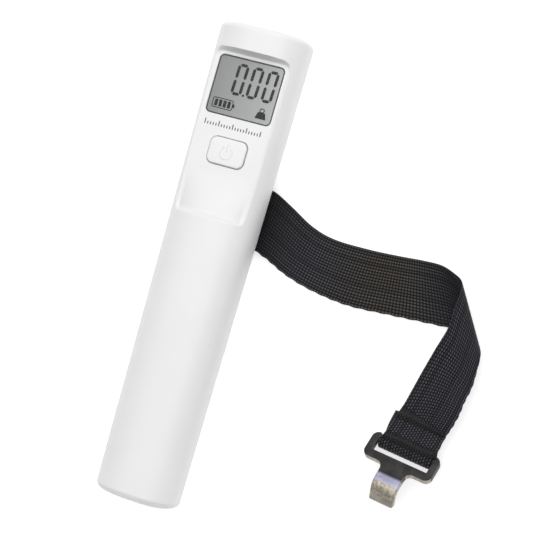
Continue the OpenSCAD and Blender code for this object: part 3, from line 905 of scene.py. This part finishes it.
def smooth_curve(points, steps):
    """A smooth curve through the points, with equal steps of its own parameter between them."""
    last = len(points) - 1
    curve = []
    for i in range(last):
        a, b, c, d = points[max(i - 1, 0)], points[i], points[i + 1], points[min(i + 2, last)]
        for k in range(steps):
            t = k / steps
            square = (2 * a - 5 * b + 4 * c - d) * t * t
            cube = (3 * b - a - 3 * c + d) * t * t * t
            curve.append(0.5 * (2 * b + (c - a) * t + square + cube))
    curve.append(points[last])
    return np.array(curve)


def unit_rows(vectors):
    return vectors / np.linalg.norm(vectors, axis=1, keepdims=True)


def strap_lines(spacing):
    """Far edge, near edge, the direction of thickness and the walked length, at an even spacing."""
    rulings = strap_rulings()
    far = smooth_curve(rulings[:, 0], 40)
    near = smooth_curve(rulings[:, 1], 40)
    middle = (far + near) / 2
    walked = np.concatenate([[0.0], np.cumsum(np.linalg.norm(np.diff(middle, axis=0), axis=1))])
    rows = int(walked[-1] / spacing)
    wanted = np.linspace(0.0, walked[-1], rows + 1)
    far = np.stack([np.interp(wanted, walked, far[:, k]) for k in range(3)], axis=1)
    near = np.stack([np.interp(wanted, walked, near[:, k]) for k in range(3)], axis=1)
    flow = unit_rows(np.gradient(far, axis=0)) + unit_rows(np.gradient(near, axis=0))
    up = unit_rows(np.cross(near - far, flow))
    return far, near, up, wanted


YARN = 1.0
WEFT = 1.06
YARN_RISE = 0.1
STRAP_COLUMNS = 132
EDGE_STEP = 4.2
STRAP_SPACING = 0.2
# centre of the painted brown sheen on the strap
SHEEN_AT = 80.0
# centre of the painted shade at the strap's fold
FOLD_AT = 108.0
SEAM_STARTS = (28.4, 19.8)
SEAM_LENGTH = 3.2
STITCHED_SIDE = -1.0
STITCH_STEP = 0.46
STITCH_MARGIN = 0.8


def write_layer(piece, name, values, domain="POINT"):
    """Stores a number for every point or face of the piece, for its material to read."""
    layer = piece.data.attributes.new(name, "FLOAT", domain)
    layer.data.foreach_set("value", np.asarray(values, np.float32))


def weave(across, along, staggered):
    """Height of the weave, from 0 to 1: yarns side by side, each rising once in every weft step."""
    yarn = across / YARN
    shift = 0.5 * np.mod(np.floor(yarn), 2) if staggered else 0.0
    ridge = np.abs(np.sin(pi * yarn)) ** 0.6
    rise = np.abs(np.sin(pi * (along / WEFT + shift)))
    return ridge * (0.35 + 0.65 * rise)


def make_strap():
    far, near, up, walked = strap_lines(STRAP_SPACING)
    share = (1 - np.cos(np.pi * np.linspace(0.0, 1.0, 9))) / 2
    edge = 0.5 / STRAP_WIDTH
    inner = np.linspace(edge, 1 - edge, STRAP_COLUMNS)
    across = np.concatenate([edge * share[:-1], inner, 1 - edge * share[-2::-1]])
    across = np.unique(across.round(6))
    from_edge = np.minimum(across, 1 - across) * STRAP_WIDTH
    fullness = np.sqrt(np.clip(1 - (1 - np.clip(from_edge / 0.55, 0, 1)) ** 2, 0.0, 1.0))
    half = STRAP_THICKNESS / 2 - YARN_RISE
    rings = []
    for row in range(len(walked)):
        line = far[row] + np.outer(across, near[row] - far[row])
        wave = sin(pi * walked[row] / EDGE_STEP) ** 2
        crimp = 0.2 * wave * np.clip((across - 0.5) * 4, 0, 1) * np.clip(1 - from_edge / 1.4, 0, 1)
        swell = 0.22 * wave * np.clip((across - 0.9) * 10, 0, 1) / STRAP_WIDTH
        line = line + np.outer(swell, near[row] - far[row])
        top = weave(across * STRAP_WIDTH, walked[row], False)
        foot = weave(across * STRAP_WIDTH, walked[row], True)
        rise_top = fullness * (half + YARN_RISE * top)
        rise_foot = fullness * (half + YARN_RISE * foot)
        upper = line + np.outer(rise_top, up[row]) + np.outer(crimp * 0.4, up[row])
        lower = line - np.outer(rise_foot, up[row]) + np.outer(crimp * 0.4, up[row])
        rings.append(np.concatenate([upper, lower[-2:0:-1]]))
    piece = make_object("strap_webbing", *loft(rings))
    count = len(rings[0])
    wide = np.concatenate([across, across[-2:0:-1]]) * STRAP_WIDTH
    reverse = np.concatenate([np.zeros(len(across)), np.ones(len(across) - 2)])
    piece.data.shade_smooth()
    sewn = np.zeros(len(walked))
    for start in SEAM_STARTS:
        depth = np.abs(walked - (walked[-1] - start)) - SEAM_LENGTH / 2
        sewn = np.maximum(sewn, np.clip(1 - depth / 0.25, 0.0, 1.0))
    write_layer(piece, "across", np.tile(wide, len(rings)))
    write_layer(piece, "along", np.repeat(walked, count))
    write_layer(piece, "reverse", np.tile(reverse, len(rings)))
    write_layer(piece, "sewn", np.repeat(sewn, count))
    show(piece, "strap", "webbing", webbing_material(), "strap", sharp=None)


def webbing_material():
    """Black nylon webbing: painted glints on the yarn crowns over painted shade in the gaps, a painted
    brown sheen along part of the strap and painted shade at the fold.
    """
    n = Nodes("black_webbing")
    across, along, reverse, sewn = [n.attribute(a) for a in ("across", "along", "reverse", "sewn")]
    yarn = n.math("DIVIDE", across, YARN)
    ridge = n.size(n.math("SINE", n.times(yarn, pi)))
    odd = n.math("MODULO", n.math("FLOOR", yarn), 2.0)
    shift = n.times(n.times(odd, reverse), 0.5)
    step = n.math("ADD", n.math("DIVIDE", along, WEFT), shift)
    rise = n.size(n.math("SINE", n.times(step, pi)))
    crown = n.times(n.math("POWER", ridge, 0.8), n.map(rise, 0.05, 0.85, 0.3, 1.0))
    fuzz = n.noise(2600.0, 3.0)
    patch = n.noise(90.0, 2.0)
    yarn_tone = n.add("ShaderNodeTexWhiteNoise")
    yarn_tone.noise_dimensions = "1D"
    n.put(yarn_tone, "W", n.math("FLOOR", yarn))
    # painted shade: the gaps between the yarns are darker
    dark = n.mix(patch, (0.0016, 0.0015, 0.0022), (0.0034, 0.0028, 0.0030))
    # colours of the painted glints on the yarn crowns
    cool = n.mix(yarn_tone.outputs["Value"], (0.042, 0.042, 0.053), (0.078, 0.078, 0.095))
    painted_brown_sheen = n.mix(yarn_tone.outputs["Value"], (0.052, 0.045, 0.040), (0.092, 0.080, 0.070))
    # painted brown sheen round SHEEN_AT, turning to the cool glint colour away from it
    from_middle = n.size(n.math("SUBTRACT", along, SHEEN_AT))
    light = n.mix(n.map(from_middle, 5.0, 26.0), painted_brown_sheen, cool)
    # share of painted glint, from the height of the crowns
    lit = n.math("POWER", n.map(crown, 0.3, 0.95), 1.6)
    # the painted glints fade out near the case
    near_case = n.map(along, 30.0, 54.0, 0.25, 1.0)
    # painted shade: the glints are dimmed round the fold
    from_fold = n.size(n.math("SUBTRACT", along, FOLD_AT))
    shown = n.times(near_case, n.map(from_fold, 2.0, 16.0, 0.35, 1.0))
    # painted light: glint colour on the crowns over painted shade in the gaps
    weave_with_painted_light = n.mix(n.times(lit, shown), dark, light)
    n.colour(n.mix(n.times(sewn, 0.72), weave_with_painted_light, (0.0035, 0.0033, 0.0038)))
    n.rough(fuzz, 0.46, 0.62)
    n.surface(Specular_IOR_Level=0.14, Sheen_Weight=0.03, Sheen_Roughness=0.4)
    height = n.math("ADD", crown, n.times(fuzz, 0.25))
    n.bump(height, 0.00009, 0.9)
    return n.material


make_strap()


def tube(path, radius, sides):
    """A round closed tube along a path of points."""
    path = np.asarray(path, float)
    flow = unit_rows(np.gradient(path, axis=0))
    side = np.cross(flow[0], (0.0, 0.0, 1.0))
    if np.linalg.norm(side) < 0.1:
        side = np.cross(flow[0], (1.0, 0.0, 0.0))
    rings = []
    for centre, t in zip(path, flow):
        side = side - (side @ t) * t
        side = side / np.linalg.norm(side)
        other = np.cross(t, side)
        angles = np.arange(sides) * 2 * pi / sides
        rings.append([centre + radius * (cos(a) * side + sin(a) * other) for a in angles])
    return loft(rings)


def stitch_row(start, reach):
    """A zigzag of thread across the strap, from the walked length start to start + reach."""
    far, near, up, walked = strap_lines(STRAP_SPACING)
    count = round((STRAP_WIDTH - 2 * STITCH_MARGIN) / STITCH_STEP)
    route = []
    for k in range(count + 1):
        for part, height in ((0.0, -0.25), (0.33, 0.12), (0.67, 0.12)):
            share = (STITCH_MARGIN + (k + part) * STITCH_STEP) / STRAP_WIDTH
            place = start + reach * (part if k % 2 == 0 else 1 - part)
            row = int(np.clip(np.searchsorted(walked, place), 1, len(walked) - 1))
            centre = far[row] + share * (near[row] - far[row])
            route.append(centre + STITCHED_SIDE * up[row] * (STRAP_THICKNESS / 2 + height))
    return tube(smooth_curve(np.array(route[:-2]), 2), 0.13, 6)


def make_stitching():
    """Bar tacks that hold the folded end round the hook's bar."""
    end = strap_lines(STRAP_SPACING)[3][-1]
    parts = []
    for start in SEAM_STARTS:
        for row in range(2):
            first = end - start - SEAM_LENGTH / 2 + 0.5 * row
            parts.append(stitch_row(first, 1.8))
    piece = make_object("strap_stitching", *joined(parts))
    piece.data.shade_smooth()
    n = Nodes("black_thread")
    twist = n.noise(4200.0, 2.0)
    n.colour(n.mix(n.map(twist, 0.3, 0.7), (0.007, 0.007, 0.008), (0.022, 0.021, 0.023)))
    n.rough(twist, 0.45, 0.65)
    n.bump(twist, 0.00003)
    show(piece, "strap", "webbing", n.material, sharp=None)


make_stitching()

# ---------------------------------------------------------------- hook

HOOK_THICKNESS = 2.2
HOOK_HALF_WIDTH = 12.9
HOOK_SLOT_HALF = 10.4
HOOK_BAR = 1.1
HOOK_FAR_BAR = (5.8, 8.9)
HOOK_CORNER = 2.4
TONGUE_HALF = 4.7
TONGUE_START = 14.0
TONGUE_RADIUS = 4.0
TONGUE_BEND = 62.0
TONGUE_TIP = 4.3
TONGUE_LIP = 0.9
LIP_AT = 7.4


def hook_outline():
    """Outline of the plate with its neck: anticlockwise from the right end of the strap's bar."""
    w, r = HOOK_HALF_WIDTH, HOOK_CORNER
    low, high = -HOOK_BAR, HOOK_FAR_BAR[1]
    corners = [(w - r, low + r), (w - r, high - r), (r - w, high - r), (r - w, low + r)]
    turns = np.radians(range(0, 91, 9))
    neck = [(TONGUE_HALF + 2 - 2 * sin(a), high + 2 - 2 * cos(a)) for a in turns]
    outline = []
    for index, (x, y) in enumerate(corners):
        for step in range(13):
            angle = radians(90 * (index - 1) + 90 * step / 12)
            outline.append((x + r * cos(angle), y + r * sin(angle)))
        if index == 1:
            outline.extend(neck + [(-a, b) for a, b in neck[::-1]])
    return outline


def bevel(piece, width, segments):
    """Rounds off the sharp edges of the piece."""
    step = piece.modifiers.new("edge", "BEVEL")
    step.width = width * MM
    step.segments = segments
    step.limit_method = "ANGLE"
    step.angle_limit = radians(50)
    apply_modifiers(piece)


def tongue_rings():
    """Cross-sections of the tongue along the plate, round the bend and down to its rounded lip."""
    stations = [(HOOK_FAR_BAR[1] - 0.6, 0.0, 0.0, 1.0), (TONGUE_START - 1.0, 0.0, 0.0, 1.0)]
    for degrees in np.linspace(0.0, TONGUE_BEND, 30):
        a = radians(degrees)
        out = TONGUE_START + TONGUE_RADIUS * sin(a)
        stations.append((out, -TONGUE_RADIUS * (1 - cos(a)), degrees, 1.0))
    a = radians(TONGUE_BEND)
    end = (stations[-1][0], stations[-1][1])
    straight = [(run, 1.0) for run in np.linspace(0.6, TONGUE_TIP - TONGUE_LIP, 8)]
    for step in range(1, 8):
        turn_in = radians(90 * step / 7.5)
        run = TONGUE_TIP - TONGUE_LIP + TONGUE_LIP * sin(turn_in)
        straight.append((run, 0.15 + 0.85 * cos(turn_in)))
    for run, scale in straight:
        stations.append((end[0] + run * cos(a), end[1] - run * sin(a), TONGUE_BEND, scale))
    rings = []
    for index, (out, up, degrees, scale) in enumerate(stations):
        share = index / (len(stations) - 1)
        half = (TONGUE_HALF - 0.25 * share) - (1 - scale) * 1.1
        thick = HOOK_THICKNESS * scale
        a = radians(degrees)
        ring = []
        for x, z in rounded_outline(2 * half, thick, min(0.5, thick * 0.45), 5):
            ring.append((x, out + z * sin(a), up + z * cos(a)))
        rings.append(ring)
    return rings


def mark_finish(piece):
    """Two masks in the hook's own frame: how far each point lies past the bend, and which faces get
    painted light, a painted reflection on the outer faces and a painted highlight on the bevelled edges."""
    data = piece.data
    count = len(data.vertices)
    places = np.zeros(count * 3, np.float32)
    data.vertices.foreach_get("co", places)
    places = places.reshape(-1, 3) / MM
    past = places[:, 1] - TONGUE_START - np.minimum(places[:, 2], 0.0)
    past = np.where(np.abs(places[:, 0]) < TONGUE_HALF + 0.3, past, -20.0)
    write_layer(piece, "past_bend", past)
    painted_reflection_mask = []
    for face in data.polygons:
        out = face.normal.y
        outer = face.center.y / MM > HOOK_FAR_BAR[0] + 0.6
        edge = 0.25 < face.normal.z < 0.93
        # 1.0 for a painted reflection on the outer faces, 0.45 for a painted highlight on the bevelled
        # edges
        painted_reflection_mask.append(1.0 if outer and out > 0.3 and face.normal.z < 0.97 else 0.45 if edge else 0.0)
    write_layer(piece, "painted_reflection_mask", painted_reflection_mask, "FACE")


def gunmetal():
    """Blackened steel with painted light: a mottled painted bronze reflection on its outer faces and past
    the bend, painted highlights along the bevelled edges and on the lip, and a smoother bluish painted
    highlight band where the tongue starts to bend."""
    n = Nodes("gunmetal")
    past = n.attribute("past_bend")
    mottle = n.noise(1100.0, 6.0, 0.7)
    film = n.noise(240.0, 3.0)
    black = n.cloud(film, (0.030, 0.028, 0.029), (0.052, 0.050, 0.051))
    # painted reflection: a mottled bronze where the faces turn towards the floor
    bronze = n.mix(n.map(mottle, 0.36, 0.64), srgb(124, 116, 104), srgb(200, 191, 176))
    # painted highlight: a bluish band where the tongue starts to bend
    band = n.cloud(film, srgb(150, 151, 174), srgb(182, 183, 204))
    # painted highlight along the rounded lip at the tongue's tip
    lip = n.cloud(film, srgb(150, 142, 132), srgb(186, 179, 170))
    # painted reflection on the outer faces and painted highlight on the bevelled edges
    painted_reflection_colour = n.mix(n.attribute("painted_reflection_mask"), black, bronze)
    banded = n.mix(n.map(past, -1.9, -0.9), painted_reflection_colour, band)
    # past the bend: painted bronze reflection
    mottled = n.mix(n.map(past, 0.9, 1.7), banded, bronze)
    n.colour(n.mix(n.map(past, LIP_AT, LIP_AT + 0.5), mottled, lip))
    # share of painted light, where the steel is made less metallic
    bare = n.math("MAXIMUM", n.attribute("painted_reflection_mask"), n.map(past, -1.9, -0.9))
    n.surface(Metallic=n.map(bare, 0.0, 1.0, 0.9, 0.45))
    n.rough(mottle, 0.32, 0.5)
    n.surface(Specular_IOR_Level=0.4)
    n.bump(mottle, 0.00003, 0.8)
    return n.material


def make_hook():
    half = HOOK_THICKNESS / 2
    plate = make_object("hook_plate", *prism(hook_outline(), -half, half))
    slot = [(-HOOK_SLOT_HALF, -HOOK_BAR - 1), (HOOK_SLOT_HALF, -HOOK_BAR - 1)]
    slot += [(HOOK_SLOT_HALF, HOOK_FAR_BAR[0]), (-HOOK_SLOT_HALF, HOOK_FAR_BAR[0])]
    combine(plate, [make_object("slot", *prism(slot, -5, 5))], "DIFFERENCE")
    bevel(plate, 0.7, 5)
    tongue = make_object("tongue", *loft(tongue_rings()))
    angles = np.arange(32) * 2 * pi / 32
    rod_half = HOOK_SLOT_HALF + 0.6
    circle = [(HOOK_BAR * cos(a), HOOK_BAR * sin(a)) for a in angles]
    rod = make_object("rod", *loft([[(x, y, z) for y, z in circle] for x in (-rod_half, rod_half)]))
    for part in (plate, tongue, rod):
        finish_mesh(part, 35.0)
    combine(plate, [tongue, rod], "UNION")
    mark_finish(plate)
    turn_x = Matrix.Rotation(radians(HOOK_PITCH), 4, "X")
    turn_y = Matrix.Rotation(roll, 4, "Y")
    turn_z = Matrix.Rotation(turn, 4, "Z")
    place = Matrix.Translation(Vector(HOOK_AT) * MM) @ turn_z @ turn_y @ turn_x
    plate.data.transform(place)
    show(plate, "hook", "hook_metal", gunmetal(), "hook")


make_hook()

# ---------------------------------------------------------------- parts inside


def board_material():
    """Solder resist over copper traces: darker green with lighter tracks in two directions."""
    n = Nodes("green_board")
    across = n.math("PINGPONG", n.times(n.axis("X"), 1000.0), 0.9)
    along = n.math("PINGPONG", n.times(n.axis("Y"), 1000.0), 1.3)
    patch = n.noise(180.0, 2.0)
    track = n.times(n.map(n.math("MINIMUM", across, along), 0.16, 0.1), n.map(patch, 0.45, 0.55))
    cloud = n.mix(n.noise(90.0, 2.0), (0.006, 0.055, 0.022), (0.010, 0.085, 0.036))
    n.colour(n.mix(track, cloud, (0.030, 0.150, 0.060)))
    n.rough(patch, 0.25, 0.4)
    n.bump(track, 0.00003)
    return n.material


def chip_material():
    """Small parts on the board: some black, some ceramic brown, with dull tinned ends."""
    n = Nodes("board_parts")
    kind = n.noise(140.0, 0.0)
    body = n.mix(n.map(kind, 0.49, 0.51), (0.012, 0.012, 0.013), (0.22, 0.14, 0.075))
    grain = n.noise(3000.0, 2.0)
    n.colour(n.mix(n.map(grain, 0.62, 0.8), body, (0.45, 0.45, 0.44)))
    n.rough(grain, 0.35, 0.6)
    n.bump(grain, 0.00001)
    return n.material


def battery_material():
    """Printed film round a cell: dark wrap, a copper-coloured shoulder and bare metal ends."""
    n = Nodes("battery_wrap")
    low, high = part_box("battery_left")
    along = n.map(n.axis("Y"), low.y, high.y)
    sheen = n.noise(70.0, 3.0)
    wrap = n.cloud(sheen, (0.013, 0.014, 0.017), (0.024, 0.026, 0.031))
    shoulder = n.cloud(sheen, (0.46, 0.20, 0.07), (0.58, 0.27, 0.10))
    bare = n.mix(sheen, (0.55, 0.55, 0.54), (0.66, 0.66, 0.64))
    printed = n.mix(n.map(along, 0.795, 0.8), wrap, shoulder)
    ends = n.math("MAXIMUM", n.map(along, 0.982, 0.985), n.map(along, 0.012, 0.009))
    n.colour(n.mix(ends, printed, bare))
    n.surface(Metallic=n.times(ends, 0.95))
    n.rough(sheen, 0.24, 0.38)
    n.bump(n.noise(1800.0, 2.0), 0.000004)
    return n.material


def lead_material():
    """Soft insulation: each lead takes its own colour from where it lies across the case."""
    n = Nodes("lead_insulation")
    red = n.mix(n.noise(300.0), (0.36, 0.018, 0.014), (0.44, 0.030, 0.022))
    black = n.mix(n.noise(300.0), (0.012, 0.012, 0.013), (0.026, 0.026, 0.028))
    n.colour(n.mix(n.map(n.axis("X"), -0.0005, 0.0005), red, black))
    n.rough(n.noise(900.0, 2.0), 0.4, 0.55)
    n.bump(n.noise(2500.0, 2.0), 0.000006)
    return n.material


# node: material, colour and roughness
STEEL_PARTS = {
    "bridge_contact": ("nickel_strip", (0.66, 0.64, 0.60), 0.24),
    "switch_body": ("switch_shell", (0.56, 0.56, 0.55), 0.32),
    "load_cell_base": ("spacer", (0.50, 0.50, 0.50), 0.35),
    "load_cell_screws": ("beam_screws", (0.52, 0.51, 0.48), 0.3),
    "yoke": ("pressed_yoke", (0.58, 0.58, 0.57), 0.32),
    "yoke_screws": ("yoke_screws", (0.52, 0.51, 0.48), 0.3),
    "strap_pin": ("strap_pin", (0.60, 0.60, 0.60), 0.22),
    "catch_pin": ("catch_pin", (0.60, 0.60, 0.60), 0.22),
    "contact_spring": ("spring_wire", (0.66, 0.63, 0.56), 0.25),
    "contact_plate": ("contact_plate", (0.66, 0.63, 0.56), 0.25),
    "case_screws": ("case_screws", (0.42, 0.42, 0.42), 0.34),
    "board_screws": ("board_screws", (0.46, 0.46, 0.45), 0.34),
}


def finish_inside():
    """Materials for the nodes that are shown as packed."""
    finishes = {
        "lcd_glass": plastic("lcd_glass", (0.20, 0.22, 0.21), roughness=0.12),
        "lcd_reflector": plastic("reflector_foil", (0.62, 0.64, 0.64), roughness=0.3),
        "lcd_frame": plastic("ivory_frame", (0.68, 0.66, 0.60), roughness=0.45),
        "elastomer_strips": plastic("pink_elastomer", (0.42, 0.20, 0.20), roughness=0.7),
        "main_board": board_material(),
        "controller_blob": plastic("black_epoxy", (0.014, 0.014, 0.014), 0.25, 1500.0, 0.00003, 0.004),
        "board_components": chip_material(),
        "switch_plunger": plastic("switch_plunger", (0.03, 0.03, 0.032), roughness=0.45),
        "load_cell": metal("milled_aluminium", (0.62, 0.63, 0.64), 0.28, (1.0, 0.06, 1.0)),
        "strain_gauges": plastic("gauge_cover", (0.60, 0.60, 0.56), 0.4, 1200.0, 0.00003),
        "battery_left": battery_material(),
        "battery_tray": plastic("grey_tray", (0.055, 0.058, 0.062), roughness=0.5),
        "load_cell_leads": lead_material(),
    }
    for node, (name, colour, roughness) in STEEL_PARTS.items():
        finishes[node] = metal(name, colour, roughness, (1.0, 0.15, 1.0), 0.000008)
    finishes["battery_right"] = finishes["battery_left"]
    finishes["battery_leads"] = finishes["load_cell_leads"]
    finishes["window_tape"] = plastic("foam_tape", (0.02, 0.02, 0.021), 0.75, 2500.0, 0.00004, 0.005)
    finishes["display_window"] = pane_material()
    for name, material in finishes.items():
        piece = nodes[name]
        piece.data.materials.clear()
        piece.data.materials.append(material)


finish_inside()

# ---------------------------------------------------------------- stage and light


def make_stage():
    half = 6000.0
    corners = [(-half, -half, 0), (half, -half, 0), (half, half, 0), (-half, half, 0)]
    floor = make_object("floor", corners, [(0, 1, 2, 3)])
    n = Nodes("floor_white")
    n.colour((0.6, 0.6, 0.6, 1.0))
    n.surface(Roughness=0.9, Emission_Color=(1.0, 1.0, 1.0, 1.0), Emission_Strength=0.62)
    floor.data.materials.append(n.material)


def soft_box(name, at, aim, size, watts):
    light = bpy.data.lights.new(name, "AREA")
    light.shape = "RECTANGLE"
    light.size, light.size_y = size
    light.energy = watts
    holder = in_scene(name, light)
    holder.location = at
    holder.rotation_mode = "QUATERNION"
    holder.rotation_quaternion = (Vector(aim) - Vector(at)).to_track_quat("-Z", "Y")


def make_light():
    world = bpy.data.worlds.new("studio")
    scene.world = world
    world.use_nodes = True
    world.node_tree.nodes["Background"].inputs["Color"].default_value = (1.0, 1.0, 1.0, 1.0)
    world.node_tree.nodes["Background"].inputs["Strength"].default_value = 0.25
    soft_box("overhead", (0.0, 0.28, 1.3), (0.0, 0.0, 0.0), (1.6, 1.6), 18.4)
    soft_box("head_light", (0.0, 1.2, 0.7), (0.0, 0.0, 0.0), (1.0, 0.6), 3.2)
    soft_box("right_fill", (1.4, -0.1, 0.45), (0.0, 0.0, 0.0), (1.0, 1.0), 1.1)
    scene.view_settings.view_transform = "Standard"


make_stage()
make_light()
